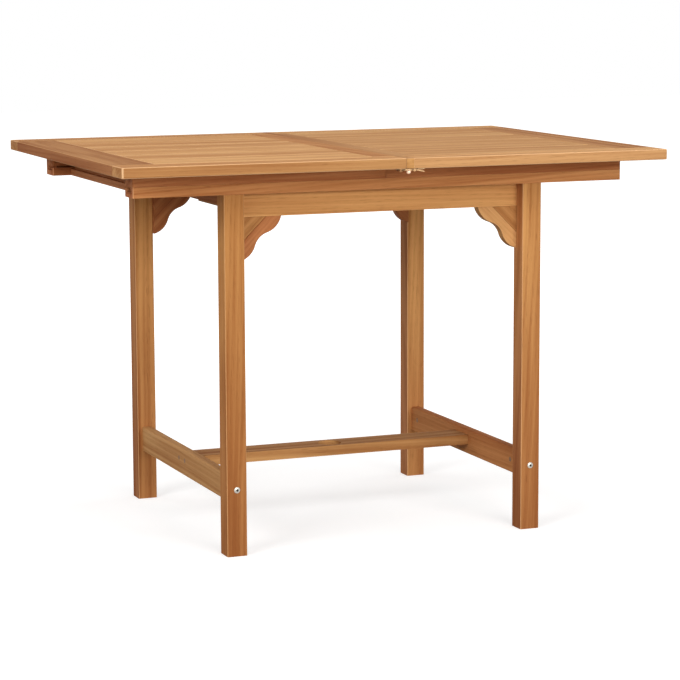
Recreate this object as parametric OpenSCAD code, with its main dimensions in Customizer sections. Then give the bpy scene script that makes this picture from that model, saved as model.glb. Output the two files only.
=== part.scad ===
// Extending garden table: two sliding top halves on dovetail rails, four legs, ogee
// brackets, a parasol stretcher and a folding leaf stored under the seam.
// Frame: origin on the ground below the middle of the top, X along the length of the
// table, -Y towards the front edge, Z up. Drawn closed.

/* [Top] */
// Length of the closed top
top_len = 1100; // [1050:10:1300]
// Width of the top
top_w = 800; // [760:10:900]
// Height of the top face above the ground
table_h = 750; // [700:5:780]
// Thickness of the top boards
top_t = 20; // [18:1:26]
// Width of the two long rails that edge the top
long_rail_w = 60; // [50:1:80]
// Width of the rail across each end of the top
end_rail_w = 80; // [60:1:100]
// Width of the rail on each side of the seam
seam_rail_w = 40; // [34:1:60]
// Strip of the right seam rail that runs out to both long edges
seam_return_w = 15; // [10:1:20]
// Number of slats across the top
slat_count = 6; // [4:1:8]
// Gap between two slats
slat_gap = 3.5; // [2:0.5:6]
// Chamfer on the ends of the slats
slat_chamfer = 2; // [1:0.5:3]
// Thickness of every tongue and groove in the top
tongue_t = 8; // [6:1:9]
// Length of the tongues on the slat ends
tongue_len = 10; // [6:1:14]
// Length of the tenons on the end and seam rails
top_tenon_len = 35; // [20:1:45]
// Shoulder between those tenons and the outer edge of their rail
top_tenon_edge = 10; // [6:1:16]
// Radius of the outer corners of the top, seen from above
corner_r = 6; // [2:1:15]
// Radius of the outer edges of the top, above and below
top_edge_r = 1.8; // [1:0.2:1.8]
// Gap between the two closed halves
seam_gap = 0.4; // [0.2:0.1:2]

/* [Slides] */
// How far the slide rails stop short of the ends of the top
end_overhang = 50; // [30:5:80]
// How far the slide rails stand in from the long edges of the top
side_overhang = 100; // [85:5:130]
// Width of the slide rails and runners
rail_w = 50; // [44:1:60]
// Height of the fixed slide rails
rail_h = 20; // [18:1:32]
// Height of the runners under the top
runner_h = 25; // [20:1:32]
// Radius of the upright edges at the ends of the slide rails and runners
rail_edge_r = 2.5; // [1:0.5:4]
// Height of the gap that is cut into the slide rails on the inner side of the grooves
relief_h = 4; // [3:0.5:5]
// Width of the dovetail groove at its mouth
dove_mouth = 20; // [16:1:24]
// Width of the dovetail groove at its floor
dove_floor = 30; // [26:1:34]
// Depth of the dovetail groove
dove_depth = 10; // [8:0.5:11]
// Side and bottom clearance of the dovetail tongue
dove_clear = 0.4; // [0.3:0.1:1]
// How far the dovetail tongue stops short of the ends of its runner
dove_short = 12; // [8:1:35]
// Diameter of the stop pins in the slide rails
stop_d = 8; // [6:1:8]
// Gap between the legs and the stop pins, along the rails
stop_gap = 15; // [8:1:60]
// Height of the stop pins above the groove floor
stop_rise = 4.5; // [3:0.5:5]
// Clearance of the stop pins in their slots
stop_clear = 0.3; // [0.2:0.1:1]
// Distance of the cross rails from the ends of the slide rails
cross_inset = 37; // [20:1:60]
// Thickness of the cross rails
cross_t = 20; // [16:1:30]
// Height of the outer lip of the cross rails
cross_h = 13; // [10:1:16]
// How far the cross rails stand back above their lip
cross_step = 8; // [4:1:10]

/* [Legs] */
// Width of the square legs
leg_w = 40; // [36:1:60]
// Distance between the leg centres along the table
leg_span = 612; // [600:4:680]
// How far the legs stand out past the slide rails
leg_proud = 3; // [0:1:8]
// Radius of the upright edges of the legs
leg_edge_r = 2.5; // [1:0.5:5]
// Diameter of the dowels on top of the legs
leg_dowel_d = 10; // [8:1:10]
// Length of the dowels in each leg
leg_dowel_len = 20; // [12:1:30]
// Distance between the two dowels of a leg
leg_dowel_pitch = 20; // [18:1:22]
// Wood between the leg dowels and the dovetail grooves
leg_dowel_cover = 3; // [2:0.5:8]

/* [Aprons] */
// Height of the long aprons
apron_h = 45; // [36:1:60]
// Thickness of the aprons
apron_t = 20; // [18:1:24]
// How far the long aprons stand back from the face of the legs
apron_setback = 27; // [22:1:30]
// Height of the sloping band on top of the long aprons
band_h = 7; // [3:0.5:10]
// Depth of the sloping band on top of the long aprons
band_d = 4; // [2:0.5:6]
// Height of the side aprons
side_apron_h = 23.5; // [18:0.5:40]
// Thickness of the apron tenons
tenon_t = 8; // [6:1:10]
// Length of the apron tenons
tenon_len = 14; // [8:1:15]
// Shoulder above and below the tenons of the long aprons
tenon_shoulder = 6; // [4:1:8]
// Shoulder above and below the tenons of the side aprons
side_tenon_shoulder = 3; // [2:0.5:5]

/* [Brackets] */
// Offset of the convex lobes from the middle of the bracket
lobe_s = 36.5; // [34:0.5:40]
// Radius of the convex lobes
lobe_r = 42; // [40:1:48]
// Reach of the lobes from the corner, along the bracket's axis
lobe_top = 65; // [64:0.2:72]
// Reach of the cove from the corner, along the bracket's axis
cove_bottom = 56; // [55:0.5:61]
// Leg of the corner block along the apron
block_x = 52; // [45:1:60]
// Leg of the corner block down the leg
block_z = 52; // [35:1:60]

/* [Stretchers] */
// Height of the middle of the side stretchers above the ground
stretcher_z = 128; // [100:1:200]
// Height of the side stretchers
side_stretcher_h = 50; // [44:1:70]
// Thickness of the side stretchers
side_stretcher_t = 20; // [18:1:28]
// Radius of the top edges of the side stretchers
stretcher_edge_r = 4; // [2:0.5:8]
// Width of the centre stretcher
centre_w = 65; // [62:1:90]
// Thickness of the centre stretcher
centre_t = 20; // [16:1:28]
// Depth of the centre stretcher below the top of the side stretchers
centre_drop = 10.5; // [5:0.5:20]
// Diameter of the parasol hole
parasol_d = 48; // [38:1:50]

/* [Fasteners] */
// Diameter of the connecting bolts
bolt_d = 6; // [5:1:8]
// Length of the connecting bolts under the head
bolt_len = 75; // [70:1:90]
// Diameter of the bolt heads
bolt_head_d = 12; // [10:0.5:16]
// Height of the bolt heads
bolt_head_h = 2.6; // [2:0.1:4]
// Width across the corners of the hexagon socket
socket_d = 4.6; // [3:0.1:6]
// Depth of the hexagon socket
socket_depth = 1.7; // [1:0.1:2]
// Length of the bolt holes past the ends of the bolts
bolt_hole_spare = 2; // [1:0.5:4]
// Diameter of the barrel nuts
nut_d = 10; // [9:1:12]
// Length of the barrel nuts
nut_len = 16; // [12:1:17]
// Distance of the barrel nuts from the legs
nut_inset = 30; // [20:1:32]
// Diameter of the wood screws in the centre stretcher
screw_d = 5; // [4:0.5:6]
// Length of the wood screws in the centre stretcher
screw_len = 50; // [40:1:70]
// Diameter of the wood screw heads
screw_head_d = 9; // [8:0.5:10]
// Distance between the two screws at each end of the centre stretcher
screw_pitch = 36; // [20:1:40]
// Clearance of pins and dowels in their holes
pin_clear = 0.05; // [0.02:0.01:0.1]
// Clearance of the bolts in the legs
bolt_clear = 0.5; // [0.2:0.1:1]

/* [Leaf] */
// Length that the leaf adds to the table
leaf_len = 500; // [480:10:510]
// Width of the end rails of the leaf
leaf_end_w = 40; // [30:1:60]
// Number of slats in each leaf panel
leaf_slats = 3; // [2:1:4]
// Clearance of the folded leaf under the top
leaf_clear = 2; // [1:0.5:4]
// Gap between the two folded panels
fold_gap = 0.5; // [0.3:0.1:1]
// Width of the battens under the leaf
batten_w = 24; // [20:1:30]
// Distance of the pivoting battens from the leaf ends
front_batten_in = 0; // [0:1:20]
// Distance of the other battens from the leaf ends
back_batten_in = 8; // [4:1:20]
// Distance of the battens from the fold
batten_start = 10; // [5:1:30]
// How far the battens stop short of the outside of the slide rails
batten_short = 2; // [0:1:10]
// Diameter of the pivot pins
pivot_d = 10; // [8:1:12]
// Depth of the pivot pins in the battens and in the pivot bars
pivot_grip = 14; // [8:1:18]
// Gap between the leaf and the pivot bars
pivot_gap = 14; // [13:1:18]
// Thickness of the pivot bars
pivot_bar_t = 20; // [18:1:26]
// Height of the pivot bars above the middle of the pivot pins
pivot_bar_rise = 7; // [6:0.5:9]
// Height of the underside of the pivot bars below the top of the slide rails
pivot_bar_drop = 18; // [16:1:30]
// Gap between the pivot bars and the runners that slide past them
pivot_bar_side = 2; // [1:0.5:4]
// Width of the two rests under the folded leaf
rest_w = 24; // [16:1:30]
// Thickness of the rests where they stand on the back apron
rest_t = 18; // [14:1:20]
// Thickness of the rests at their free ends
rest_tip_t = 10; // [8:1:12]
// Distance of the free ends of the rests behind the middle of the table
rest_y = 150; // [120:5:180]
// Distance of the rests from the middle of the table, along it
rest_x = 170; // [100:10:200]
// Length of the leaf hinges
hinge_len = 60; // [40:1:80]
// Height of the leaf hinge plates
hinge_h = 14; // [10:1:16]
// Thickness of the leaf hinge plates
hinge_t = 1.5; // [1:0.1:2]
// Diameter of the hinge knuckles
knuckle_d = 5; // [4:0.5:6]
// Distance of the hinges from the middle of the leaf
hinge_x = 150; // [80:5:170]
// Diameter of the alignment dowels
dowel_d = 8; // [6:1:10]
// Length of an alignment dowel inside its rail
dowel_in = 18; // [12:1:25]
// Length of an alignment dowel outside its rail
dowel_out = 10; // [6:1:12]
// Distance of the outer alignment dowels from the middle; the inner ones lie at a third
dowel_y = 290; // [240:10:320]

/* [Catches] */
// Distance of the catches from the long edges of the top
catch_inset = 14; // [12:1:20]
// Distance of the catch pivot from the seam
catch_x = 21; // [18:1:34]
// Distance of the stud from the seam
stud_x = 6.5; // [6:0.5:16]
// Angle between the drawn catch and its locked place
catch_open = 18; // [13:1:20]
// Width of the catch bar
bar_w = 7; // [6:0.5:9]
// Thickness of the catch bar
bar_t = 2.5; // [2:0.25:4]
// Diameter of the round end plates
eye_d = 12; // [11:0.5:14]
// Thickness of the catch plates
plate_t = 1.5; // [1:0.25:2.5]
// Diameter of the catch pins
catch_pin_d = 4.4; // [3:0.2:5]
// Diameter of the heads of the catch pins
catch_head_d = 7; // [6:0.5:9]
// Height of the heads of the catch pins
catch_head_h = 1.5; // [1:0.25:2.5]
// Diameter of the finger knob
knob_d = 9; // [8:0.5:12]
// Distance of the finger knob from the catch pivot
knob_x = 10.5; // [10:0.5:24]
// Distance of the tips of the forked tail from the catch pivot
tail_len = 19; // [14:1:24]
// Width of the forked tail
tail_w = 5; // [3:0.5:6]
// Thickness of the two prongs of the tail at their tips
prong_t = 1.4; // [1:0.1:1.6]
// How far the lower prong drops below the catch bar
prong_drop = 2.5; // [1.5:0.5:5]
// Play between the catch bar and its plates
catch_play = 0.3; // [0.2:0.1:0.5]
// Play of the hook round the stud
hook_play = 0.8; // [0.6:0.1:1.2]

/* [Hidden] */
$fn = 64;
eps = 0.01;
wood_light = "#cf9d66";
wood_mid = "#c08549";
wood_dark = "#a8683d";
brass = "#d8b56a";
steel = "#c9ccd0";

top_under = table_h - top_t;
rail_top = top_under - runner_h;
leg_h = rail_top - rail_h;
half_len = top_len / 2;
half_w = top_w / 2;
travel = leaf_len / 2;

rail_half = half_len - end_overhang;
rail_out = half_w - side_overhang;
rail_in = rail_out - rail_w;
rail_mid = rail_out - rail_w / 2;

leg_x = leg_span / 2;
leg_face = rail_out + leg_proud;
leg_y = leg_face - leg_w / 2;
leg_in_x = leg_x - leg_w / 2;
leg_in_y = leg_face - leg_w;
stop_x = leg_x + leg_w / 2 + stop_gap + stop_d / 2;

apron_front = leg_face - apron_setback;
apron_back = apron_front - apron_t;
apron_z = leg_h - apron_h;
apron_tenon_y = (apron_front + leg_in_y) / 2;

side_apron_z = leg_h - side_apron_h;
side_stretcher_z = stretcher_z - side_stretcher_h / 2;
stretcher_top = stretcher_z + side_stretcher_h / 2;
centre_top = stretcher_top - centre_drop;
centre_z = centre_top - centre_t;
side_stretcher_in = leg_x - side_stretcher_t / 2;
nut_y = leg_in_y - nut_inset;

slat_zone = top_w - 2 * long_rail_w;
slat_w = (slat_zone - (slat_count + 1) * slat_gap) / slat_count;
tongue_z = top_under + (top_t - tongue_t) / 2;
seam_rail_x = seam_gap / 2;
slat_x = seam_rail_x + seam_rail_w;
end_rail_x = half_len - end_rail_w;
dowel_rows = [dowel_y / 3, dowel_y];

// The leaf is worked out open and then folded, turned over and stored.
// Its battens are as thick as the runners, so that the open leaf rests on the slide rails.
batten_h = runner_h;
leaf_face = top_under - leaf_clear - batten_h - top_t;
back_face = leaf_face - fold_gap;
fold_z = (leaf_face + back_face) / 2;
pivot_z = (table_h + leaf_face) / 2;
pivot_y = -half_w / 4;
open_fold_z = 2 * pivot_z - fold_z;
leaf_half = leaf_len / 2;
leaf_slat_x = leaf_half - leaf_end_w;
leaf_zone = half_w - long_rail_w;
leaf_slat_w = (leaf_zone - leaf_slats * slat_gap) / leaf_slats;
batten_end = rail_out - batten_short;
pivot_bar_x = leaf_half + pivot_gap;
pivot_bar_top = pivot_z + pivot_bar_rise;
pivot_bar_z = rail_top - pivot_bar_drop;
rest_top = back_face - top_t;

catch_y = half_w - catch_inset;
bar_top = top_under - plate_t - catch_play;
bar_z = bar_top - bar_t;
head_z = bar_z - catch_play - catch_head_h;
bar_reach = catch_x + stud_x;

// A box between two corners.
module span(low, high) {
    translate(low) cube(high - low);
}

// The same child on the right or the left half of the table.
module side(sign_x) {
    if (sign_x > 0) children();
    else mirror([1, 0, 0]) children();
}

// The same child at the front or the back of the table; children are drawn at the back.
module end(sign_y) {
    if (sign_y > 0) children();
    else mirror([0, 1, 0]) children();
}

// An outline with round corners, w by d.
module round_bar(w, d, r) {
    square([w - 2 * r, d], center = true);
    square([w, d - 2 * r], center = true);
    for (x = [-1, 1], y = [-1, 1])
        translate([x * (w / 2 - r), y * (d / 2 - r)]) circle(r);
}

// A shape drawn in Y and Z, drawn out along X from one place to another.
module along_x(x0, x1) {
    translate([x0, 0, 0]) rotate([90, 0, 90]) linear_extrude(x1 - x0) children();
}

// A shape drawn in X and Z, drawn out along Y from one place to another.
module along_y(y0, y1) {
    translate([0, y1, 0]) rotate([90, 0, 0]) linear_extrude(y1 - y0) children();
}

module leg(sign_x, sign_y) {
    color(wood_mid) side(sign_x) end(sign_y) difference() {
        translate([leg_x, leg_y, 0]) linear_extrude(leg_h) round_bar(leg_w, leg_w, leg_edge_r);
        span([leg_in_x - eps, apron_tenon_y - tenon_t / 2, apron_z + tenon_shoulder],
             [leg_in_x + tenon_len, apron_tenon_y + tenon_t / 2, leg_h - tenon_shoulder]);
        span([leg_x - tenon_t / 2, leg_in_y - eps, side_apron_z + side_tenon_shoulder],
             [leg_x + tenon_t / 2, leg_in_y + tenon_len, leg_h - side_tenon_shoulder]);
        translate([leg_x, leg_face + eps, stretcher_z]) rotate([90, 0, 0])
            cylinder(h = leg_w + 2 * eps, r = bolt_d / 2 + bolt_clear);
        dowel_row(leg_h - leg_dowel_len, leg_h + eps, pin_clear);
    }
}

// The two dowels over one leg, from one height to another.
module dowel_row(z0, z1, clear) {
    for (s = [-1, 1])
        translate([leg_x + s * leg_dowel_pitch / 2, leg_y, z0])
            cylinder(h = z1 - z0, r = leg_dowel_d / 2 + clear);
}

module leg_dowels() {
    color(wood_light) for (x = [-1, 1], y = [-1, 1])
        side(x) end(y) dowel_row(leg_h - leg_dowel_len, leg_h + dowel_up(), 0);
}

// Height of the leg dowels above the legs, clear of the dovetail groove.
function dowel_up() = rail_h - dove_depth - leg_dowel_cover;

module long_apron(sign_y) {
    color(wood_mid) end(sign_y) {
        along_x(-leg_in_x, leg_in_x) polygon([
            [apron_back, apron_z], [apron_front, apron_z],
            [apron_front, leg_h - band_h], [apron_front - band_d, leg_h],
            [apron_back, leg_h]]);
        for (s = [-1, 1]) side(s)
            span([leg_in_x, apron_tenon_y - tenon_t / 2, apron_z + tenon_shoulder],
                 [leg_in_x + tenon_len, apron_tenon_y + tenon_t / 2, leg_h - tenon_shoulder]);
    }
}

module side_apron(sign_x) {
    color(wood_mid) side(sign_x) {
        span([leg_x - apron_t / 2, -leg_in_y, side_apron_z],
             [leg_x + apron_t / 2, leg_in_y, leg_h]);
        for (s = [-1, 1]) end(s)
            span([leg_x - tenon_t / 2, leg_in_y, side_apron_z + side_tenon_shoulder],
                 [leg_x + tenon_t / 2, leg_in_y + tenon_len, leg_h - side_tenon_shoulder]);
    }
}

// The bracket's outline, with its corner at the origin, below and left of the apron and leg.
// s runs across the bracket's axis and d along it, away from the corner.
function at_sd(s, d) = [-(d + s) / sqrt(2), -(d - s) / sqrt(2)];
lobe_d = lobe_top - lobe_r;
cove_rise = cove_bottom - lobe_d;
cove_r = (lobe_s * lobe_s + cove_rise * cove_rise - lobe_r * lobe_r) / (2 * (lobe_r - cove_rise));
cove_d = cove_bottom + cove_r;
lobe_share = lobe_r / (lobe_r + cove_r);
join_s = lobe_s * (1 - lobe_share);
join_d = lobe_d + (cove_d - lobe_d) * lobe_share;
toe = lobe_edge();
// Reach of the bracket along the apron and down the leg, where a lobe meets them.
function lobe_edge() =
    let (b = lobe_s + lobe_d, c = lobe_s * lobe_s + lobe_d * lobe_d - lobe_r * lobe_r)
    (b + sqrt(b * b - 2 * c)) / sqrt(2);

module bracket_outline() {
    difference() {
        intersection() {
            union() {
                polygon([[0, 0], [-toe, 0], at_sd(join_s, join_d), at_sd(-join_s, join_d), [0, -toe]]);
                for (s = [-1, 1]) translate(at_sd(s * lobe_s, lobe_d)) circle(lobe_r, $fn = 120);
            }
            translate([-toe - lobe_r, -toe - lobe_r]) square(toe + lobe_r);
        }
        translate(at_sd(0, cove_d)) circle(cove_r, $fn = 120);
    }
}

module block_outline() {
    polygon([[0, 0], [-block_x, 0], [0, -block_z]]);
}

// Places a bracket's outline in the corner between the apron and a leg.
module in_corner(sign_x, sign_y) {
    side(sign_x) end(sign_y) along_y(apron_back, apron_front)
        translate([leg_in_x, apron_z]) children();
}

module brace(sign_x, sign_y) {
    color(wood_dark) in_corner(sign_x, sign_y) difference() {
        bracket_outline();
        block_outline();
    }
}

module corner_block(sign_x, sign_y) {
    color(wood_mid) in_corner(sign_x, sign_y) block_outline();
}

module side_stretcher(sign_x) {
    low_x = leg_x - side_stretcher_t / 2;
    high_x = leg_x + side_stretcher_t / 2;
    color(wood_mid) side(sign_x) difference() {
        along_y(-leg_in_y, leg_in_y) {
            translate([low_x, side_stretcher_z])
                square([side_stretcher_t, side_stretcher_h - stretcher_edge_r]);
            translate([low_x + stretcher_edge_r, side_stretcher_z])
                square([side_stretcher_t - 2 * stretcher_edge_r, side_stretcher_h]);
            for (x = [low_x + stretcher_edge_r, high_x - stretcher_edge_r])
                translate([x, stretcher_top - stretcher_edge_r]) circle(stretcher_edge_r);
        }
        for (s = [-1, 1]) end(s) {
            translate([leg_x, leg_in_y + eps, stretcher_z]) rotate([90, 0, 0])
                cylinder(h = bolt_len - leg_w + bolt_hole_spare, r = bolt_d / 2 + bolt_clear);
            translate([low_x - eps, nut_y, stretcher_z]) rotate([0, 90, 0])
                cylinder(h = nut_len + eps, r = nut_d / 2 + pin_clear);
        }
        for (y = [-1, 1]) centre_screw(y, pin_clear);
    }
}

module centre_stretcher() {
    color(wood_mid) difference() {
        span([-side_stretcher_in, -centre_w / 2, centre_z], [side_stretcher_in, centre_w / 2, centre_top]);
        translate([0, 0, centre_z - eps]) cylinder(h = centre_t + 2 * eps, r = parasol_d / 2);
        for (x = [-1, 1], y = [-1, 1]) side(x) centre_screw(y, pin_clear);
    }
}

// One countersunk screw through the right side stretcher into the centre stretcher.
module centre_screw(sign_y, clear) {
    head_h = (screw_head_d - screw_d) / 2;
    translate([leg_x + side_stretcher_t / 2, sign_y * screw_pitch / 2, centre_z + centre_t / 2])
        rotate([0, -90, 0]) {
            cylinder(h = screw_len + clear, r = screw_d / 2 + clear);
            cylinder(h = head_h, r1 = screw_head_d / 2 + clear, r2 = screw_d / 2 + clear);
        }
}

module centre_stretcher_screws() {
    color(steel) for (x = [-1, 1], y = [-1, 1]) side(x) centre_screw(y, 0);
}

module stretcher_bolts() {
    color(steel) for (x = [-1, 1], y = [-1, 1]) side(x) end(y)
        translate([leg_x, leg_face, stretcher_z]) {
            rotate([90, 0, 0]) cylinder(h = bolt_len, r = bolt_d / 2);
            rotate([-90, 0, 0]) difference() {
                intersection() {
                    cylinder(h = bolt_head_h, r = bolt_head_d / 2);
                    translate([0, 0, bolt_head_h - bolt_head_d]) sphere(bolt_head_d);
                }
                translate([0, 0, bolt_head_h - socket_depth])
                    cylinder(h = bolt_head_h, r = socket_d / 2, $fn = 6);
            }
        }
}

module barrel_nuts() {
    color(steel) for (x = [-1, 1], y = [-1, 1]) side(x) end(y) difference() {
        translate([side_stretcher_in, nut_y, stretcher_z]) rotate([0, 90, 0])
            cylinder(h = nut_len, r = nut_d / 2);
        translate([leg_x, nut_y + nut_d, stretcher_z]) rotate([90, 0, 0])
            cylinder(h = 2 * nut_d, r = bolt_d / 2 + pin_clear);
    }
}

// The dovetail, seen along X; clear makes it smaller on each side and below.
module dovetail(clear) {
    polygon([
        [rail_mid - dove_mouth / 2 + clear, rail_top + eps],
        [rail_mid + dove_mouth / 2 - clear, rail_top + eps],
        [rail_mid + dove_floor / 2 - clear, rail_top - dove_depth + clear],
        [rail_mid - dove_floor / 2 + clear, rail_top - dove_depth + clear]]);
}

module stop_pin(clear) {
    translate([stop_x, rail_mid, leg_h])
        cylinder(h = rail_h - dove_depth + stop_rise, r = stop_d / 2 + clear);
}

module slide_stop_pins() {
    color(steel) for (x = [-1, 1], y = [-1, 1]) side(x) end(y) stop_pin(0);
}

// The outline of a slide rail at the back, seen from above; the closed runners share it.
module rail_plan() {
    translate([0, rail_mid]) round_bar(2 * rail_half, rail_w, rail_edge_r);
}

// Only the outer lip of a slide rail carries the runners; on the inner side a gap stays open.
module slide_rail(sign_y) {
    color(wood_dark) end(sign_y) difference() {
        translate([0, 0, leg_h]) linear_extrude(rail_h) rail_plan();
        along_x(-rail_half - eps, rail_half + eps) dovetail(0);
        span([-rail_half - eps, rail_in - eps, rail_top - relief_h],
             [rail_half + eps, rail_mid, rail_top + eps]);
        for (s = [-1, 1]) side(s) {
            stop_pin(pin_clear);
            dowel_row(leg_h - eps, leg_h + dowel_up(), pin_clear);
        }
    }
}

// A rail between the slide rails, with a rabbet on its outer top edge.
module cross_rail(sign_x) {
    outer = rail_half - cross_inset;
    color(wood_dark) side(sign_x) along_y(-rail_in, rail_in) polygon([
        [outer - cross_t, leg_h], [outer, leg_h], [outer, leg_h + cross_h],
        [outer - cross_step, leg_h + cross_h], [outer - cross_step, rail_top],
        [outer - cross_t, rail_top]]);
}

// A runner under one half of the top, with its dovetail tongue and the stop slot in it.
module runner(sign_x, sign_y) {
    slot_h = stop_rise + 2 * stop_clear;
    slot_w = stop_d + 2 * stop_clear;
    color(wood_dark) side(sign_x) end(sign_y) difference() {
        union() {
            translate([0, 0, rail_top]) linear_extrude(runner_h) intersection() {
                rail_plan();
                translate([seam_gap / 2, rail_in]) square([rail_half, rail_w]);
            }
            along_x(seam_gap / 2 + dove_short, rail_half - dove_short) dovetail(dove_clear);
        }
        span([stop_x - travel - slot_w / 2, rail_mid - slot_w / 2, rail_top - dove_depth],
             [stop_x + slot_w / 2, rail_mid + slot_w / 2, rail_top - dove_depth + slot_h]);
    }
}

// A top board's section from u0 to its outer edge at u1, which is rounded above and below.
module board_section(u0, u1) {
    r = top_edge_r;
    translate([u0, top_under]) square([u1 - u0 - r, top_t]);
    translate([u0, top_under + r]) square([u1 - u0, top_t - 2 * r]);
    for (z = [top_under + r, table_h - r]) translate([u1 - r, z]) circle(r);
}

// The top is drawn as its right half, at the back; the left half has no seam return.
module long_rail(sign_x, sign_y) {
    start = sign_x > 0 ? seam_rail_x + seam_return_w : seam_rail_x;
    color(wood_light) side(sign_x) end(sign_y) difference() {
        union() {
            along_x(start, half_len - corner_r) board_section(slat_zone / 2, half_w);
            along_y(slat_zone / 2, half_w - corner_r) board_section(end_rail_x, half_len);
            translate([half_len - corner_r, half_w - corner_r, 0])
                rotate_extrude() board_section(0, corner_r);
        }
        end_tenon(eps);
        seam_tenon(eps);
    }
}

// A tenon of the end rail, or its mortise in the long rail at the back.
module end_tenon(root) {
    top_tenon(end_rail_x + tongue_len, half_len - top_tenon_edge, root);
}

// A tenon of the seam rail, or its mortise in the long rail at the back.
module seam_tenon(root) {
    top_tenon(seam_rail_x + seam_return_w, slat_x - tongue_len, root);
}

module top_tenon(x0, x1, root) {
    span([x0, slat_zone / 2 - root, tongue_z],
         [x1, slat_zone / 2 + top_tenon_len, tongue_z + tongue_t]);
}

// The groove for the slat tongues, open towards one side of a rail.
module tongue_groove(x0, x1) {
    span([x0, -slat_zone / 2, tongue_z], [x1, slat_zone / 2, tongue_z + tongue_t]);
}

module end_rail(sign_x) {
    color(wood_light) side(sign_x) {
        difference() {
            along_y(-slat_zone / 2, slat_zone / 2) board_section(end_rail_x, half_len);
            tongue_groove(end_rail_x - eps, end_rail_x + tongue_len);
        }
        for (s = [-1, 1]) end(s) end_tenon(0);
    }
}

module seam_rail(sign_x) {
    color(wood_light) side(sign_x) {
        difference() {
            union() {
                span([seam_rail_x, -slat_zone / 2, top_under], [slat_x, slat_zone / 2, table_h]);
                if (sign_x > 0)
                    for (s = [-1, 1]) end(s)
                        along_x(seam_rail_x, seam_rail_x + seam_return_w)
                            board_section(slat_zone / 2 - top_t, half_w);
            }
            tongue_groove(slat_x - tongue_len, slat_x + eps);
            for (s = [-1, 1], y = dowel_rows)
                alignment_dowel(s * y, seam_rail_x - eps, seam_rail_x + dowel_in, pin_clear);
        }
        for (s = [-1, 1]) end(s) seam_tenon(0);
    }
}

// A dowel or its hole along X, at mid thickness of the top.
module alignment_dowel(y, x0, x1, clear) {
    translate([x0, y, top_under + top_t / 2]) rotate([0, 90, 0])
        cylinder(h = x1 - x0, r = dowel_d / 2 + clear);
}

module seam_dowels() {
    color(wood_mid) for (s = [-1, 1], y = dowel_rows)
        alignment_dowel(s * y, -seam_rail_x - dowel_in, -seam_rail_x + dowel_out, 0);
}

// A slat along X with chamfered ends on its top face and a tongue at each end.
module slat(x0, x1, y0, y1) {
    along_y(y0, y1) polygon([
        [x0, top_under], [x1, top_under], [x1, table_h - slat_chamfer], [x1 - slat_chamfer, table_h],
        [x0 + slat_chamfer, table_h], [x0, table_h - slat_chamfer]]);
    span([x0 - tongue_len, y0, tongue_z], [x1 + tongue_len, y1, tongue_z + tongue_t]);
}

module slats(sign_x) {
    color(wood_light) side(sign_x) for (i = [0:slat_count - 1]) {
        y0 = -slat_zone / 2 + slat_gap + i * (slat_w + slat_gap);
        slat(slat_x, end_rail_x, y0, y0 + slat_w);
    }
}

// Children drawn on the open leaf: the front panel turns over about the pivot pins, and the
// back panel folds onto the front one first.
module turn_over(y, z) {
    translate([0, 2 * y, 2 * z]) rotate([180, 0, 0]) children();
}

module stored(sign_y) {
    turn_over(pivot_y, pivot_z)
        if (sign_y < 0) mirror([0, 1, 0]) children();
        else turn_over(0, open_fold_z) children();
}

// What the hinges and the parasol pole need cut away at the fold.
module fold_cuts() {
    translate([0, 0, top_under - eps]) cylinder(h = top_t + 2 * eps, r = parasol_d / 2);
    for (s = [-1, 1]) {
        span([s * hinge_x - hinge_len / 2, -eps, table_h - hinge_h - knuckle_d / 2],
             [s * hinge_x + hinge_len / 2, hinge_t, table_h + eps]);
        translate([s * hinge_x - hinge_len / 2, 0, open_fold_z]) rotate([0, 90, 0])
            cylinder(h = hinge_len, r = knuckle_d / 2 + catch_play);
    }
}

module leaf_rail(sign_y) {
    color(wood_light) stored(sign_y)
        along_x(-leaf_half, leaf_half) board_section(leaf_zone, half_w);
}

module leaf_end_rails(sign_y) {
    color(wood_light) stored(sign_y) difference() {
        for (s = [-1, 1]) side(s) difference() {
            span([leaf_slat_x, 0, top_under], [leaf_half, leaf_zone, table_h]);
            span([leaf_slat_x - eps, -eps, tongue_z],
                 [leaf_slat_x + tongue_len, leaf_zone, tongue_z + tongue_t]);
        }
        for (y = dowel_rows) {
            alignment_dowel(y, -leaf_half - eps, -leaf_half + dowel_in, pin_clear);
            alignment_dowel(y, leaf_half - dowel_in, leaf_half + eps, pin_clear);
        }
    }
}

module leaf_slat_set(sign_y) {
    color(wood_light) stored(sign_y) difference() {
        for (i = [0:leaf_slats - 1]) {
            y0 = i * (leaf_slat_w + slat_gap);
            slat(-leaf_slat_x, leaf_slat_x, y0, y0 + leaf_slat_w);
        }
        fold_cuts();
    }
}

module leaf_dowels() {
    color(wood_mid) for (s = [-1, 1], y = dowel_rows)
        stored(s) alignment_dowel(y, leaf_half - dowel_in, leaf_half + dowel_out, 0);
}

module leaf_battens() {
    color(wood_mid) {
        stored(-1) difference() {
            batten_pair(front_batten_in);
            for (s = [-1, 1]) side(s) open_pivot_pin(pin_clear);
        }
        stored(1) batten_pair(back_batten_in);
    }
}

module batten_pair(inset) {
    for (s = [-1, 1]) side(s)
        span([leaf_half - inset - batten_w, batten_start, top_under - batten_h],
             [leaf_half - inset, batten_end, top_under]);
}

// A pivot pin on the open front panel, at the right end.
module open_pivot_pin(clear) {
    translate([leaf_half - pivot_grip, -pivot_y, pivot_z]) rotate([0, 90, 0])
        cylinder(h = pivot_gap + 2 * pivot_grip, r = pivot_d / 2 + clear);
}

module leaf_pivot_pins() {
    color(brass) stored(-1) for (s = [-1, 1]) side(s) open_pivot_pin(0);
}

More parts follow.
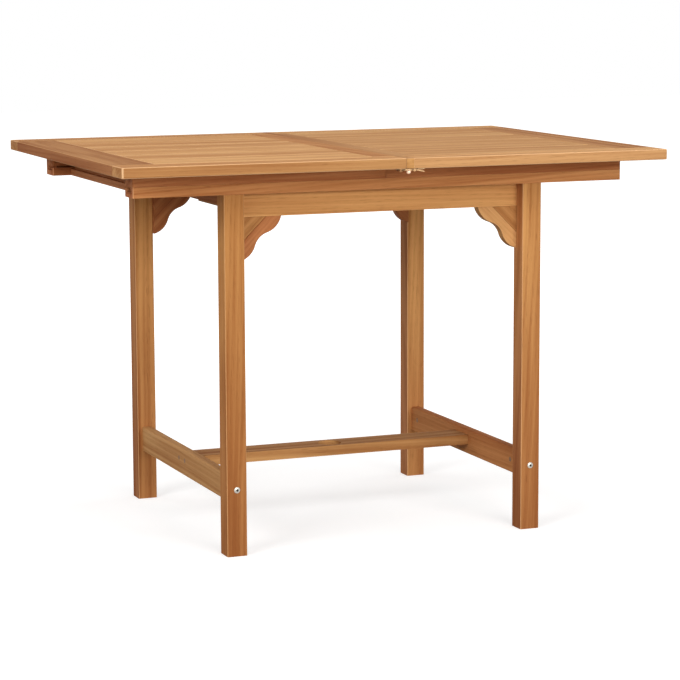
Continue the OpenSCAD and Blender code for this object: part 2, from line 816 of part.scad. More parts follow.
// A bar between the slide rails that carries one pivot pin, stepped in beside the runners.
module pivot_bar(sign_x) {
    step_y = rail_in - pivot_bar_side;
    step_z = rail_top - pivot_bar_side;
    color(wood_mid) side(sign_x) difference() {
        along_x(pivot_bar_x, pivot_bar_x + pivot_bar_t) polygon([
            [-rail_in, pivot_bar_z], [rail_in, pivot_bar_z], [rail_in, step_z], [step_y, step_z],
            [step_y, pivot_bar_top], [-step_y, pivot_bar_top], [-step_y, step_z], [-rail_in, step_z]]);
        stored(-1) open_pivot_pin(pin_clear);
    }
}

// Two tapered ledges on the back apron, under the free edge of the folded leaf.
module leaf_rest() {
    color(wood_mid) for (x = [-rest_x, rest_x])
        along_x(x - rest_w / 2, x + rest_w / 2) polygon([
            [rest_y, rest_top], [apron_back, rest_top], [apron_back, rest_top - rest_t],
            [rest_y, rest_top - rest_tip_t]]);
}

module leaf_hinges() {
    color(brass) for (x = [-hinge_x, hinge_x]) {
        for (y = [-1, 1]) stored(y)
            span([x - hinge_len / 2, 0, table_h - hinge_h - knuckle_d / 2],
                 [x + hinge_len / 2, hinge_t, open_fold_z]);
        stored(-1) translate([x - hinge_len / 2, 0, open_fold_z]) rotate([0, 90, 0])
            cylinder(h = hinge_len, r = knuckle_d / 2);
    }
}

// A round plate with a headed pin hanging from it, under the top.
module headed_pin(x) {
    translate([x, catch_y, 0]) {
        translate([0, 0, top_under - plate_t]) cylinder(h = plate_t, r = eye_d / 2);
        translate([0, 0, head_z]) cylinder(h = top_under - head_z, r = catch_pin_d / 2);
        translate([0, 0, head_z]) cylinder(h = catch_head_h, r = catch_head_d / 2);
    }
}

module catch_studs() {
    color(brass) for (s = [-1, 1]) end(s) headed_pin(-stud_x);
}

module catch_plates() {
    color(brass) for (s = [-1, 1]) end(s) headed_pin(catch_x);
}

// The swinging bar: an eye on the pivot, a finger knob, a hook that drops over the stud and a
// forked tail whose upper prong runs just under the top.
module catch_bar(sign_y) {
    hole_r = catch_pin_d / 2 + pin_clear;
    hook_r = catch_pin_d / 2 + hook_play;
    tail_x = eye_d / 2 - prong_t;
    tail_top = top_under - catch_play - bar_z;
    color(brass) end(sign_y) translate([catch_x, catch_y, bar_z]) rotate([0, 0, catch_open]) {
        linear_extrude(bar_t) difference() {
            union() {
                circle(eye_d / 2);
                translate([-bar_reach, 0]) circle(eye_d / 2);
                translate([-bar_reach, -bar_w / 2]) square([bar_reach, bar_w]);
            }
            circle(hole_r);
            translate([-bar_reach, 0]) circle(hook_r);
            translate([-bar_reach - hook_r, 0]) square([2 * hook_r, eye_d]);
        }
        translate([-knob_x, 0, bar_t - knob_d / 2]) sphere(knob_d / 2);
        along_y(-tail_w / 2, tail_w / 2) polygon([
            [tail_x, 0], [tail_len, -prong_drop], [tail_len, prong_t - prong_drop],
            [tail_x + prong_t, bar_t / 2], [tail_len, tail_top - prong_t], [tail_len, tail_top],
            [tail_x, bar_t]]);
    }
}

leg(-1, -1);  // front_left_leg
leg(1, -1);  // front_right_leg
leg(-1, 1);  // back_left_leg
leg(1, 1);  // back_right_leg
long_apron(-1);  // front_apron
long_apron(1);  // back_apron
side_apron(-1);  // left_apron
side_apron(1);  // right_apron
brace(-1, -1);  // front_left_brace
brace(1, -1);  // front_right_brace
brace(-1, 1);  // back_left_brace
brace(1, 1);  // back_right_brace
corner_block(-1, -1);  // front_left_corner_block
corner_block(1, -1);  // front_right_corner_block
corner_block(-1, 1);  // back_left_corner_block
corner_block(1, 1);  // back_right_corner_block
side_stretcher(-1);  // left_stretcher
side_stretcher(1);  // right_stretcher
centre_stretcher();
stretcher_bolts();
barrel_nuts();
centre_stretcher_screws();
leg_dowels();
slide_rail(-1);  // front_slide_rail
slide_rail(1);  // back_slide_rail
cross_rail(-1);  // left_cross_rail
cross_rail(1);  // right_cross_rail
slide_stop_pins();
pivot_bar(-1);  // left_pivot_bar
pivot_bar(1);  // right_pivot_bar
leaf_rest();
leaf_pivot_pins();
leaf_rail(-1);  // leaf_front_rail
leaf_end_rails(-1);  // leaf_front_end_rails
leaf_slat_set(-1);  // leaf_front_slats
leaf_rail(1);  // leaf_back_rail
leaf_end_rails(1);  // leaf_back_end_rails
leaf_slat_set(1);  // leaf_back_slats
leaf_battens();
leaf_hinges();
leaf_dowels();
long_rail(-1, -1);  // left_front_rail
long_rail(-1, 1);  // left_back_rail
end_rail(-1);  // left_end_rail
seam_rail(-1);  // left_seam_rail
slats(-1);  // left_slats
runner(-1, -1);  // left_front_runner
runner(-1, 1);  // left_back_runner
seam_dowels();
long_rail(1, -1);  // right_front_rail
long_rail(1, 1);  // right_back_rail
end_rail(1);  // right_end_rail
seam_rail(1);  // right_seam_rail
slats(1);  // right_slats
runner(1, -1);  // right_front_runner
runner(1, 1);  // right_back_runner
catch_studs();
catch_plates();
catch_bar(-1);  // front_catch_bar
catch_bar(1);  // back_catch_bar
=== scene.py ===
"""Looks of the extending garden table: oiled teak, brass catches, zinc bolts, a plain pale studio."""

import math

import bpy
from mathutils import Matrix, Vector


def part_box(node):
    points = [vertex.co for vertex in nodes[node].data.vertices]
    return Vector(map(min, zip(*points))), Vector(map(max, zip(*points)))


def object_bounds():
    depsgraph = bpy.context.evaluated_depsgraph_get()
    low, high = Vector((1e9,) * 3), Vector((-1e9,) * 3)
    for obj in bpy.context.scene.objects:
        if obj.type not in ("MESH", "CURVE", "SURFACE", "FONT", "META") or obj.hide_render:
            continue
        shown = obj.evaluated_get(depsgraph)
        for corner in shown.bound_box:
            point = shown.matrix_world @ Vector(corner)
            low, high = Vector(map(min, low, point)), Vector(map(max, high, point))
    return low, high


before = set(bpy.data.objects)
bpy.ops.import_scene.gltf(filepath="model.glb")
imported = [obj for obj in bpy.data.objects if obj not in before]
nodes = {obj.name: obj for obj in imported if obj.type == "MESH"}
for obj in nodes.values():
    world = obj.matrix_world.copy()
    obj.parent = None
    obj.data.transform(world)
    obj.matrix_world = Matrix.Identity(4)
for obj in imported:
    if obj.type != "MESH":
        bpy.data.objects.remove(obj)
cad_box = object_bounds()
scene = bpy.context.scene

# Camera at the photograph's place, with no shift.
CAMERA_PLACE = (-1.8185, -4.6351, 1.1022)
CAMERA_DOWN = 0.1492
CAMERA_HEADING = -0.3784
CAMERA_ROLL = -0.0039
CAMERA_LENS = 131.6
CAMERA_SENSOR = 36

camera = bpy.data.objects.new("camera", bpy.data.cameras.new("camera"))
camera.location = CAMERA_PLACE
camera.rotation_euler = (math.pi / 2 - CAMERA_DOWN, 0, CAMERA_HEADING)
camera.rotation_euler.rotate_axis("Z", CAMERA_ROLL)
camera.data.lens = CAMERA_LENS
camera.data.sensor_width = CAMERA_SENSOR
scene.collection.objects.link(camera)
scene.camera = camera
scene.view_settings.view_transform = "Standard"


class Graph:
    """Short calls for building a node tree."""

    def __init__(self, tree):
        self.tree = tree
        tree.nodes.clear()

    def node(self, kind, inputs=(), **settings):
        """A new node. inputs gives each socket a value, or the output of another node."""
        prefix = "Node" if kind in ("GroupInput", "GroupOutput") else "ShaderNode"
        made = self.tree.nodes.new(prefix + kind)
        for key, value in settings.items():
            setattr(made, key, value)
        for key, value in dict(inputs).items():
            self.feed(made.inputs[key], value)
        return made

    def feed(self, socket, value):
        if isinstance(value, bpy.types.NodeSocket):
            self.tree.links.new(value, socket)
        else:
            socket.default_value = value

    def math(self, operation, *values):
        return self.node("Math", enumerate(values), operation=operation).outputs[0]

    def vector(self, operation, *values):
        made = self.node("VectorMath", enumerate(values), operation=operation)
        return made.outputs["Value" if operation == "LENGTH" else "Vector"]

    def combine(self, x, y, z):
        return self.node("CombineXYZ", {"X": x, "Y": y, "Z": z}).outputs[0]

    def split(self, vector):
        return self.node("SeparateXYZ", {"Vector": vector}).outputs

    def turn(self, vector, angles):
        inputs = {"Vector": vector, "Rotation": angles}
        return self.node("VectorRotate", inputs, rotation_type="EULER_XYZ").outputs[0]

    def luck(self, seed, output):
        """White noise: one random value or colour for each seed."""
        return self.node("TexWhiteNoise", {"W": seed}, noise_dimensions="1D").outputs[output]

    def noise(self, vector, detail=2.0, roughness=0.5, output="Fac"):
        inputs = {"Vector": vector, "Scale": 1.0, "Detail": detail, "Roughness": roughness}
        return self.node("TexNoise", inputs).outputs[output]

    def bend(self, value, low, high, to_low=0.0, to_high=1.0):
        """A smooth step from to_low to to_high while the value goes from low to high."""
        inputs = {"Value": value, "From Min": low, "From Max": high, "To Min": to_low, "To Max": to_high}
        return self.node("MapRange", inputs, interpolation_type="SMOOTHSTEP").outputs[0]

    def blend(self, share, first, second, how="MIX"):
        made = self.node("Mix", data_type="RGBA", blend_type=how)
        self.feed(made.inputs["Factor"], share)
        self.feed(made.inputs[6], first)
        self.feed(made.inputs[7], second)
        return made.outputs[2]

    def close(self, shader, kind="OutputMaterial"):
        self.tree.links.new(shader.outputs[0], self.node(kind).inputs["Surface"])


def new_material(name):
    """A material with an empty node tree, and the graph to fill it."""
    material = bpy.data.materials.new(name)
    material.use_nodes = True
    return material, Graph(material.node_tree)


# Scales of the grain's layers, in 1/m: along the board, then across it.
WAVE_SCALE = (2.2, 7.0, 7.0)
STREAK_SCALE = (2.6, 150.0, 150.0)
CLOUD_SCALE = (1.6, 24.0, 24.0)
PORE_SCALE = (46.0, 1050.0, 1050.0)
RING_SCALE = 135.0
# How far the slow waves bend the grain, in metres.
WAVE_REACH = (0.0, 0.012, 0.012)
# The pith: its depth below the board's middle, and the whole ranges of its place sideways and its lean.
PITH_DEPTH = 0.07
PITH_SIDE = 0.14
PITH_LEAN = 0.09
# Shares of the layers in the tone and in the height.
RING_TONE = 0.34
STREAK_TONE = 0.26
CLOUD_TONE = 0.50
STREAK_HEIGHT = 0.5
PORE_HEIGHT = 0.8
# Values at which the tone goes from dark to light, and at which pores open and light rings close them.
TONE_STEP = (0.36, 0.76)
PORE_STEP = (0.56, 0.70)
RING_STEP = (0.35, 0.6, 1.0, 0.25)
# How far apart in the noise two boards lie whose seeds differ by one, in metres.
SEED_SHIFT = (3.71, 3.71, 3.71)
HALF = (0.5, 0.5, 0.5)


def teak_group():
    """Solid teak grain: metres from the board's middle, X along the grain."""
    tree = bpy.data.node_groups.new("teak grain", "ShaderNodeTree")
    for name, kind in (("Place", "NodeSocketVector"), ("Seed", "NodeSocketFloat")):
        tree.interface.new_socket(name=name, in_out="INPUT", socket_type=kind)
    for name in ("Tone", "Pores", "Height"):
        tree.interface.new_socket(name=name, in_out="OUTPUT", socket_type="NodeSocketFloat")
    g = Graph(tree)
    source = g.node("GroupInput").outputs
    place, seed = source["Place"], source["Seed"]
    there = g.vector("ADD", place, g.vector("MULTIPLY", g.combine(seed, seed, seed), SEED_SHIFT))

    # Slow waves bend the grain a few millimetres sideways.
    wave = g.noise(g.vector("MULTIPLY", there, WAVE_SCALE), output="Color")
    wave = g.vector("MULTIPLY", g.vector("SUBTRACT", wave, HALF), WAVE_REACH)

    # Growth rings run round a pith that lies below the board, up to 70 mm to one side, and leans.
    part = g.split(g.vector("ADD", place, wave))
    lean = g.split(g.vector("SUBTRACT", g.luck(seed, "Color"), HALF))
    along = g.math("MULTIPLY", part["X"], g.math("MULTIPLY", lean["Z"], PITH_LEAN))
    across = g.math("ADD", part["Y"], g.math("MULTIPLY", lean["X"], PITH_SIDE))
    down = g.math("ADD", part["Z"], g.math("ADD", along, PITH_DEPTH))
    count = g.math("MULTIPLY", g.vector("LENGTH", g.combine(0.0, across, down)), RING_SCALE)
    ring = g.node("TexNoise", {"W": count, "Scale": 1.0, "Detail": 2.5}, noise_dimensions="1D").outputs[0]

    straight = g.vector("ADD", there, wave)
    streak = g.noise(g.vector("MULTIPLY", straight, STREAK_SCALE), detail=3.0, roughness=0.6)
    cloud = g.noise(g.vector("MULTIPLY", straight, CLOUD_SCALE))
    pore = g.noise(g.vector("MULTIPLY", straight, PORE_SCALE), detail=1.0)

    tone = g.math("MULTIPLY", ring, RING_TONE)
    tone = g.math("MULTIPLY_ADD", streak, STREAK_TONE, tone)
    tone = g.math("MULTIPLY_ADD", cloud, CLOUD_TONE, tone)
    tone = g.bend(tone, *TONE_STEP)
    pores = g.math("MULTIPLY", g.bend(pore, *PORE_STEP), g.bend(ring, *RING_STEP))
    raised = g.math("MULTIPLY", streak, STREAK_HEIGHT)
    height = g.math("SUBTRACT", raised, g.math("MULTIPLY", pores, PORE_HEIGHT))
    g.node("GroupOutput", {"Tone": tone, "Pores": pores, "Height": height})
    return tree


TEAK = teak_group()

# Factors of a board's colour, per channel. The first four are for its rounded and slanting faces: a
# painted highlight, a stronger painted highlight, painted shade, and none.
PAINTED_EDGE_HIGHLIGHT = (1.40, 1.62, 2.25)
PAINTED_APRON_HIGHLIGHT = (1.55, 1.80, 2.40)
PAINTED_EDGE_SHADE = (0.60, 0.50, 0.42)
PLAIN = (1.0, 1.0, 1.0)
PORE = (0.42, 0.33, 0.26)
END_GRAIN = (0.95, 0.93, 0.91)
DARK_BOARD = (0.93, 0.90, 0.87)
LIGHT_BOARD = (1.04, 1.05, 1.06)
# A leg's factors: darker at the foot, and lighter at the head, which is painted light against the shade
# under the top.
FOOT = (0.90, 0.81, 0.79)
PAINTED_LIGHT_HEAD = (1.14, 1.16, 1.14)
# The height at which a leg's colour is that of its head, in metres.
LEG_HEIGHT = 0.70
# What a contrast of one takes from the colour in the dark grain, and adds to it in the light grain.
DARKER = (0.75, 1.15, 1.4)
LIGHTER = (0.45, 0.55, 0.6)
PORE_SHARE = 0.45
EDGE_SHARE = 0.9
# How square to an axis a face is while an edge's colour fades, and a side's and the end grain's come.
EDGE_STEP = (0.80, 0.985)
SIDE_STEP = (0.80, 0.97)
END_STEP = (0.75, 0.95)
# Steps of the seeds from one board to the next of the same node, for its tint and for its grain.
TINT_STEP = 1.7
BOARD_STEP = 2.37
# Fineness and contrast of a plain board's grain.
QUIET = (1.0, 0.32)
# Roughness of the dark and of the light grain.
DARK_ROUGHNESS = 0.82
LIGHT_ROUGHNESS = 0.70
WOOD_SPECULAR = 0.18
WOOD_BUMP = {"Strength": 0.35, "Distance": 0.0004}


def shaded(colour, factor=(1.0, 1.0, 1.0)):
    """A colour times one factor per channel, with an alpha of one."""
    return tuple(c * f for c, f in zip(colour, factor)) + (1.0,)


def wood(name, colour, turn, middle, seed, boards=None, edges=PAINTED_EDGE_HIGHLIGHT, sides=None, standing=False,
         figure=QUIET):
    """Teak material. turn brings the grain to X; boards is (start, pitch) of boards side by side in Y;
    edges is the factor of the colour on rounded and slanting faces, a painted highlight or painted shade;
    sides gives a factor for the faces square to an axis, mostly painted light and shade; a standing piece
    is darker towards the ground and lighter towards its head, where the lighter colour is painted light;
    figure is the fineness of the grain and its contrast."""
    material, g = new_material(name)
    coordinates = g.node("TexCoord").outputs
    place = g.vector("SUBTRACT", coordinates["Object"], tuple(middle))
    tint = None
    if boards:
        start, pitch = boards
        count = g.math("DIVIDE", g.math("SUBTRACT", g.split(coordinates["Object"])["Y"], start), pitch)
        number = g.math("FLOOR", count)
        inside = g.math("MULTIPLY", g.math("SUBTRACT", g.math("FRACT", count), 0.5), pitch)
        part = g.split(place)
        place = g.combine(part["X"], inside, part["Z"])
        tint = g.luck(g.math("MULTIPLY_ADD", number, TINT_STEP, seed), "Value")
        seed = g.math("MULTIPLY_ADD", number, BOARD_STEP, seed)
    fineness, contrast = figure
    grain = g.node("Group", node_tree=TEAK)
    g.feed(grain.inputs["Place"], g.vector("MULTIPLY", g.turn(place, turn), (1.0, fineness, fineness)))
    g.feed(grain.inputs["Seed"], seed)
    tone, pores, height = (grain.outputs[key] for key in ("Tone", "Pores", "Height"))

    dark = shaded(colour, [1 - share * contrast for share in DARKER])
    light = shaded(colour, [1 + share * contrast for share in LIGHTER])
    skin = g.blend(tone, dark, light)
    if tint:
        skin = g.blend(1.0, skin, g.blend(tint, shaded(DARK_BOARD), shaded(LIGHT_BOARD)), "MULTIPLY")
    skin = g.blend(g.math("MULTIPLY", pores, PORE_SHARE), skin, shaded(colour, PORE))
    # Painted light on the legs: darker towards the ground, lighter towards the head.
    if standing:
        risen = g.bend(g.split(coordinates["Object"])["Z"], 0.0, LEG_HEIGHT)
        skin = g.blend(1.0, skin, g.blend(risen, shaded(FOOT), shaded(PAINTED_LIGHT_HEAD)), "MULTIPLY")

    # Rounded and slanting faces are the places whose normal is far from every axis. There the colour takes
    # the edges factor: a painted highlight, or painted shade on the braces and blocks.
    facing = g.split(g.vector("ABSOLUTE", coordinates["Normal"]))
    if edges != PLAIN:
        squareness = g.math("MAXIMUM", facing["X"], g.math("MAXIMUM", facing["Y"], facing["Z"]))
        skin = g.blend(g.bend(squareness, *EDGE_STEP, EDGE_SHARE, 0.0), skin, shaded(colour, edges))
    # Painted light and shade on most of these faces, and the seam rail's own lighter end grain.
    for axis, factor in (sides or {}).items():
        skin = g.blend(g.bend(facing[axis], *SIDE_STEP), skin, shaded(factor), "MULTIPLY")

    # End grain drinks more oil, so faces across the grain are darker.
    end = g.math("ABSOLUTE", g.split(g.turn(coordinates["Normal"], turn))["X"])
    skin = g.blend(g.bend(end, *END_STEP), skin, shaded(END_GRAIN), "MULTIPLY")

    bump = g.node("Bump", {"Height": height, **WOOD_BUMP}).outputs[0]
    rough = g.bend(tone, 0.0, 1.0, DARK_ROUGHNESS, LIGHT_ROUGHNESS)
    surface = {"Base Color": skin, "Roughness": rough, "Normal": bump, "Specular IOR Level": WOOD_SPECULAR}
    g.close(g.node("BsdfPrincipled", surface))
    return material


# Rubbing marks on metal: factors of the colour in the dark and the light ones, the steps from one to
# the other in colour and in roughness, and how much rougher the light ones are.
MARK_DARK = (0.86, 0.86, 0.86)
MARK_LIGHT = (1.06, 1.06, 1.06)
MARK_STEP = (0.35, 0.65)
MARK_ROUGH_STEP = (0.3, 0.7)
MARK_ROUGHER = 0.14
MARK_BUMP = {"Strength": 0.15, "Distance": 0.0001}
# A spot begins to fade and ends at these shares of its radius.
SPOT_FADE = (0.85, 1.1)


def metal(name, colour, roughness, scale, spots=()):
    """Metal with fine rubbing marks. Each spot is (centre, share of each axis, radius, factor) of a
    darker or lighter place, a painted shade or painted highlight, the same at the front and at the back."""
    material, g = new_material(name)
    coordinates = g.node("TexCoord").outputs["Object"]
    fine = g.vector("MULTIPLY", coordinates, (scale, scale, 3 * scale))
    mark = g.noise(fine, detail=3.0, roughness=0.6)
    skin = g.blend(g.bend(mark, *MARK_STEP), shaded(colour, MARK_DARK), shaded(colour, MARK_LIGHT))
    part = g.split(coordinates)
    folded = g.combine(part["X"], g.math("ABSOLUTE", part["Y"]), part["Z"])
    # Painted shade and painted highlight: each spot darkens or lightens the metal's colour.
    for centre, shares, radius, factor in spots:
        away = g.vector("LENGTH", g.vector("MULTIPLY", g.vector("SUBTRACT", folded, centre), shares))
        fade = g.bend(away, *[share * radius for share in SPOT_FADE])
        skin = g.blend(fade, shaded(colour, factor), skin)
    rough = g.bend(mark, *MARK_ROUGH_STEP, roughness, roughness + MARK_ROUGHER)
    bump = g.node("Bump", {"Height": mark, **MARK_BUMP}).outputs[0]
    surface = {"Base Color": skin, "Roughness": rough, "Normal": bump, "Metallic": 1.0}
    g.close(g.node("BsdfPrincipled", surface))
    return material


# Grain along each axis: the turn that brings it to X.
ALONG_X = (0.0, 0.0, 0.0)
ALONG_Y = (0.0, 0.0, -math.pi / 2)
ALONG_Z = (0.0, math.pi / 2, 0.0)
RISING = (0.0, math.pi / 4, 0.0)
FALLING = (0.0, -math.pi / 4, 0.0)

# Base colours of the boards, from the lightest to the darkest.
CREAM = (0.67, 0.370, 0.146)
STRAW = (0.58, 0.310, 0.118)
GOLD = (0.61, 0.300, 0.101)
WHEAT = (0.52, 0.276, 0.104)
COPPER = (0.545, 0.237, 0.081)
SIENNA = (0.51, 0.212, 0.070)
HONEY = (0.47, 0.218, 0.070)
FAWN = (0.41, 0.200, 0.068)
AMBER = (0.43, 0.193, 0.058)
RUSSET = (0.47, 0.180, 0.063)
UMBER = (0.37, 0.166, 0.050)
BEECH = (0.66, 0.42, 0.22)

WOODS = {
    "front_left_leg": (AMBER, ALONG_Z),
    "front_right_leg": (HONEY, ALONG_Z),
    "back_left_leg": (HONEY, ALONG_Z),
    "back_right_leg": (GOLD, ALONG_Z),
    "front_apron": (GOLD, ALONG_X),
    "back_apron": (GOLD, ALONG_X),
    "left_apron": (RUSSET, ALONG_Y),
    "right_apron": (RUSSET, ALONG_Y),
    "front_left_brace": (RUSSET, RISING),
    "front_left_corner_block": (HONEY, RISING),
    "front_right_brace": (CREAM, FALLING),
    "front_right_corner_block": (HONEY, FALLING),
    "back_left_brace": (RUSSET, RISING),
    "back_left_corner_block": (RUSSET, RISING),
    "back_right_brace": (RUSSET, FALLING),
    "back_right_corner_block": (AMBER, FALLING),
    "left_stretcher": (WHEAT, ALONG_Y),
    "right_stretcher": (SIENNA, ALONG_Y),
    "centre_stretcher": (FAWN, ALONG_X),
    "front_slide_rail": (COPPER, ALONG_X),
    "back_slide_rail": (RUSSET, ALONG_X),
    "left_cross_rail": (RUSSET, ALONG_Y),
    "right_cross_rail": (RUSSET, ALONG_Y),
    "left_pivot_bar": (AMBER, ALONG_Y),
    "right_pivot_bar": (AMBER, ALONG_Y),
    "leaf_rest": (AMBER, ALONG_Y),
    "leaf_front_rail": (WHEAT, ALONG_X),
    "leaf_back_rail": (WHEAT, ALONG_X),
    "leaf_front_end_rails": (HONEY, ALONG_Y),
    "leaf_back_end_rails": (HONEY, ALONG_Y),
    "leaf_front_slats": (WHEAT, ALONG_X),
    "leaf_back_slats": (STRAW, ALONG_X),
    "leaf_battens": (AMBER, ALONG_Y),
    "left_front_rail": (STRAW, ALONG_X),
    "left_back_rail": (WHEAT, ALONG_X),
    "left_end_rail": (UMBER, ALONG_Y),
    "left_seam_rail": (HONEY, ALONG_Y),
    "left_slats": (STRAW, ALONG_X),
    "left_front_runner": (RUSSET, ALONG_X),
    "left_back_runner": (RUSSET, ALONG_X),
    "right_front_rail": (STRAW, ALONG_X),
    "right_back_rail": (WHEAT, ALONG_X),
    "right_end_rail": (UMBER, ALONG_Y),
    "right_seam_rail": (FAWN, ALONG_Y),
    "right_slats": (WHEAT, ALONG_X),
    "right_front_runner": (RUSSET, ALONG_X),
    "right_back_runner": (RUSSET, ALONG_X),
}

# The tables below go by a node's name or by the last word of it.
# Boards side by side in one node: where the first begins in Y, and the pitch, in metres.
BOARDS = {
    "slats": (-0.33825, 0.11275),
    "leaf_front_slats": (-0.2, 0.11333),
    "leaf_back_slats": (-0.2, 0.11333),
}
# Widths of the rounded edges, in metres.
USUAL_EDGE = 0.0008
EDGES = {
    "leg": 0.0024,
    "stretcher": 0.0020,
    "left_slats": 0.0010,
    "right_slats": 0.0010,
}
METAL_EDGE = 0.0003
# Factors of the colour on rounded and slanting faces: painted shade on the braces and blocks, a stronger
# painted highlight on the aprons' edges and sloping band, and none on the runners and stretchers. The rest
# take the painted edge highlight.
SLANTS = {
    "brace": PAINTED_EDGE_SHADE,
    "block": PAINTED_EDGE_SHADE,
    "apron": PAINTED_APRON_HIGHLIGHT,
    "runner": PLAIN,
    "stretcher": PLAIN,
}
# Faces that are darker or lighter than the rest of their board. Most are painted light and shade: painted
# shade in the gaps between the slats, on the outer and inner faces of the end rails, on the ends of the
# front slide rail, on the front and back faces of the top's front rails, on the top and bottom of the
# centre stretcher and on the left and right faces of three legs; painted light on the front left leg's
# left and right faces and on the centre stretcher's front and back faces. The right seam rail's lighter
# face is the fresh end grain at the seam.
SIDE_LIGHT_SHADE_AND_TONE = {
    "slats": {"Y": (0.45, 0.36, 0.30)},
    "left_end_rail": {"X": (0.91, 0.76, 0.75)},
    "right_end_rail": {"X": (0.91, 0.76, 0.75)},
    "right_seam_rail": {"Y": (1.30, 1.36, 1.34)},
    "left_front_rail": {"Y": (0.86, 0.83, 0.80)},
    "right_front_rail": {"Y": (0.93, 0.91, 0.96)},
    "front_slide_rail": {"X": (0.85, 0.73, 0.76)},
    "centre_stretcher": {"Y": (1.14, 1.17, 1.20), "Z": (0.96, 0.94, 0.94)},
    "front_left_leg": {"X": (1.16, 1.20, 1.21)},
    "back_left_leg": {"X": (0.92, 0.90, 1.00)},
    "front_right_leg": {"X": (0.93, 0.85, 0.92)},
    "back_right_leg": {"X": (0.80, 0.72, 0.82)},
}
# Fineness and contrast of the grain.
FIGURES = {
    "slats": (1.0, 0.29),
    "leg": (0.7, 0.42),
    "apron": (0.9, 0.34),
    "stretcher": (0.8, 0.42),
    "rail": (0.85, 0.42),
    "runner": (0.8, 0.42),
}
# Seeds of the grain that are picked for their figure. The other boards take theirs from their order.
PICKED = {
    "front_left_leg": 24.5,
    "front_apron": 11.7,
    "front_right_leg": 12.32,
    "back_left_leg": 25.81,
    "back_right_leg": 21.03,
}
FIRST_SEED = 29.7
SEED_STEP = 0.618
DOWELS = {
    "leg_dowels": (ALONG_Z, 81.0),
    "seam_dowels": (ALONG_X, 82.0),
    "leaf_dowels": (ALONG_X, 83.0),
}

# Painted shade and highlight on the metals: painted shade over the catch's hook, a painted highlight on
# its knob, and painted shade in the sockets of the bolts.
HOOK_PAINTED_SHADE = ((-0.010, 0.386, 0.727), (1, 1, 1), 0.014, (0.30, 0.30, 0.30))
KNOB_PAINTED_HIGHLIGHT = ((0.0110, 0.3828, 0.7235), (1, 1, 1), 0.0050, (1.85, 2.1, 2.9))
SOCKET_PAINTED_SHADE = [((x, 0, 0.128), (1, 0, 1), 0.0026, (0.06, 0.06, 0.06)) for x in (-0.306, 0.306)]

brass = metal("brass", (0.50, 0.32, 0.16), 0.40, 260.0)
brass_with_painted_light = metal("brass_with_painted_light", (0.46, 0.29, 0.15), 0.40, 260.0, (HOOK_PAINTED_SHADE, KNOB_PAINTED_HIGHLIGHT))
zinc = metal("zinc", (0.50, 0.475, 0.42), 0.34, 300.0, SOCKET_PAINTED_SHADE)
bronze = metal("bronze", (0.34, 0.18, 0.08), 0.42, 300.0)
browned_steel = metal("browned_steel", (0.20, 0.11, 0.055), 0.50, 300.0)
METALS = {
    "catch_studs": bronze,
    "catch_plates": bronze,
    "front_catch_bar": brass_with_painted_light,
    "back_catch_bar": brass_with_painted_light,
    "leaf_hinges": brass,
    "leaf_pivot_pins": brass,
    "stretcher_bolts": zinc,
    "slide_stop_pins": zinc,
    "barrel_nuts": browned_steel,
    "centre_stretcher_screws": browned_steel,
}


def dress(piece, material):
    piece.data.materials.clear()
    piece.data.materials.append(material)


def ease_edges(piece, width):
    """Welds the imported faces, joins them into flat ones and rounds their edges."""
    for polygon in piece.data.polygons:
        polygon.use_smooth = True
    weld = piece.modifiers.new("weld", "WELD")
    weld.merge_threshold = 0.00001
    flat = piece.modifiers.new("flat", "DECIMATE")
    flat.decimate_type = "DISSOLVE"
    flat.angle_limit = math.radians(0.5)
    bevel = piece.modifiers.new("bevel", "BEVEL")
    bevel.width = width
    bevel.segments = 3
    bevel.limit_method = "ANGLE"
    bevel.angle_limit = math.radians(30.0)
    bevel.use_clamp_overlap = True
    bevel.harden_normals = False
    even = piece.modifiers.new("even", "WEIGHTED_NORMAL")
    even.keep_sharp = True


def middle_of(node):
    low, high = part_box(node)
    return (low + high) / 2


def pick(table, node, usual):
    """The table's entry for a node's name or for the last word of it, or else the usual one."""
    return table.get(node, table.get(node.split("_")[-1], usual))


for index, (node, (colour, turn)) in enumerate(WOODS.items()):
    seed = PICKED.get(node, FIRST_SEED + SEED_STEP * index)
    board = wood("teak_" + node, colour, turn, middle_of(node), seed,
                 boards=pick(BOARDS, node, None), edges=pick(SLANTS, node, PAINTED_EDGE_HIGHLIGHT),
                 sides=pick(SIDE_LIGHT_SHADE_AND_TONE, node, None), standing=node.endswith("_leg"),
                 figure=pick(FIGURES, node, QUIET))
    dress(nodes[node], board)
    ease_edges(nodes[node], pick(EDGES, node, USUAL_EDGE))

for node, (turn, seed) in DOWELS.items():
    dress(nodes[node], wood("beech_" + node, BEECH, turn, middle_of(node), seed, edges=PLAIN))

for node, finish in METALS.items():
    dress(nodes[node], finish)
    ease_edges(nodes[node], METAL_EDGE)


# The floor: half its side, and its glow, which rises from low to full between near and far, in metres.
FLOOR_REACH = 14.0
GLOW_NEAR = 0.8
GLOW_FAR = 2.2
GLOW_LOW = 0.62
GLOW_FULL = 1.0
# The floor's colour for the light on the table, its colour where it is seen, and the sky's two strengths.
FLOOR_MATT = (0.26, 0.25, 0.24, 1)
FLOOR_PAPER = (0.60, 0.60, 0.60, 1)
WHITE = (1, 1, 1, 1)
SKY_COLOUR = (1.0, 0.98, 0.96, 1)
SKY_LIGHT = 0.30
SKY_SEEN = 1.0
# Lamps: place, width and height in metres, power in watts.
SOFTBOXES = {
    "key_softbox": ((0.9, -5.9, 5.9), 3.5, 3.0, 100.0),
    "front_softbox": ((0.9, -9.2, 2.1), 6.0, 3.4, 485.0),
    "top_softbox": ((0.4, 0.0, 6.8), 4.0, 4.0, 125.0),
    "left_softbox": ((-5.7, -3.7, 3.4), 3.0, 3.0, 235.0),
    "back_softbox": ((-5.2, 6.0, 3.6), 3.0, 2.5, 60.0),
    "right_softbox": ((7.0, 1.5, 3.0), 3.0, 2.5, 60.0),
}


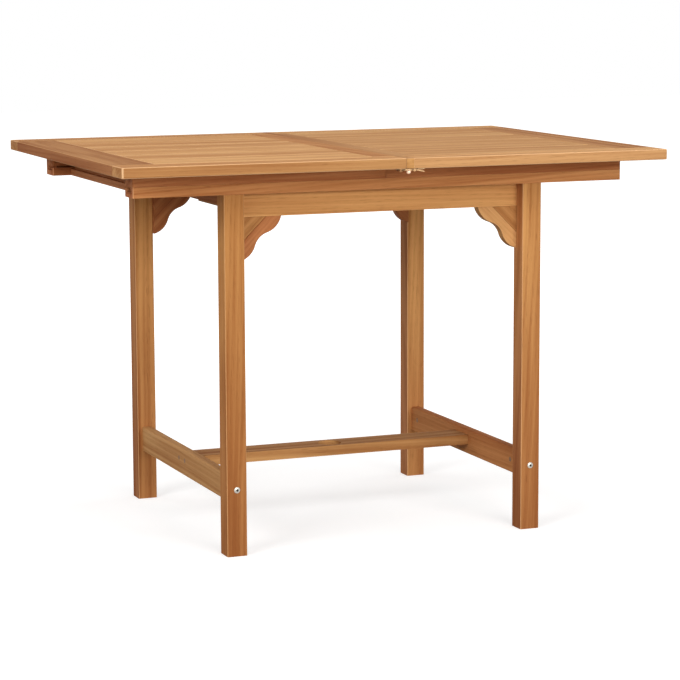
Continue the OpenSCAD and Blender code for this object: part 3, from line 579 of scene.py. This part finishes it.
def background_seen(g):
    """1 for the rays that show the background: straight from the camera, mirrored or let through."""
    rays = g.node("LightPath").outputs
    mirrored = g.math("MAXIMUM", rays["Is Glossy Ray"], rays["Is Transmission Ray"])
    return g.math("MAXIMUM", rays["Is Camera Ray"], mirrored)


def studio_floor():
    """A plain pale floor that shows the table's soft shadow and throws little light back up."""
    mesh = bpy.data.meshes.new("floor")
    corners = [(x * FLOOR_REACH, y * FLOOR_REACH, 0) for x, y in ((-1, -1), (1, -1), (1, 1), (-1, 1))]
    mesh.from_pydata(corners, [], [(0, 1, 2, 3)])
    floor = bpy.data.objects.new("floor", mesh)
    scene.collection.objects.link(floor)
    material, g = new_material("floor")
    matt = g.node("BsdfDiffuse", {"Color": FLOOR_MATT})
    away = g.vector("LENGTH", g.node("TexCoord").outputs["Object"])
    strength = g.bend(away, GLOW_NEAR, GLOW_FAR, GLOW_LOW, GLOW_FULL)
    glow = g.node("Emission", {"Color": WHITE, "Strength": strength})
    paper = g.node("BsdfDiffuse", {"Color": FLOOR_PAPER})
    pale = g.node("AddShader", {0: glow.outputs[0], 1: paper.outputs[0]})
    g.close(g.node("MixShader", {0: background_seen(g), 1: matt.outputs[0], 2: pale.outputs[0]}))
    mesh.materials.append(material)


def studio_sky():
    """White where it is seen, and a soft even light."""
    world = bpy.data.worlds.new("sky")
    scene.world = world
    world.use_nodes = True
    g = Graph(world.node_tree)
    soft = g.node("Background", {"Color": SKY_COLOUR, "Strength": SKY_LIGHT})
    white = g.node("Background", {"Color": WHITE, "Strength": SKY_SEEN})
    both = g.node("MixShader", {0: background_seen(g), 1: soft.outputs[0], 2: white.outputs[0]})
    g.close(both, "OutputWorld")


def softbox(name, place, width, height, power):
    """A lamp behind a large screen, turned to the middle of the table."""
    data = bpy.data.lights.new(name, "AREA")
    data.shape = "RECTANGLE"
    data.size = width
    data.size_y = height
    data.energy = power
    lamp = bpy.data.objects.new(name, data)
    lamp.location = place
    middle = (cad_box[0] + cad_box[1]) / 2
    lamp.rotation_euler = (middle - lamp.location).to_track_quat("-Z", "Y").to_euler()
    scene.collection.objects.link(lamp)


studio_floor()
studio_sky()
for name, settings in SOFTBOXES.items():
    softbox(name, *settings)
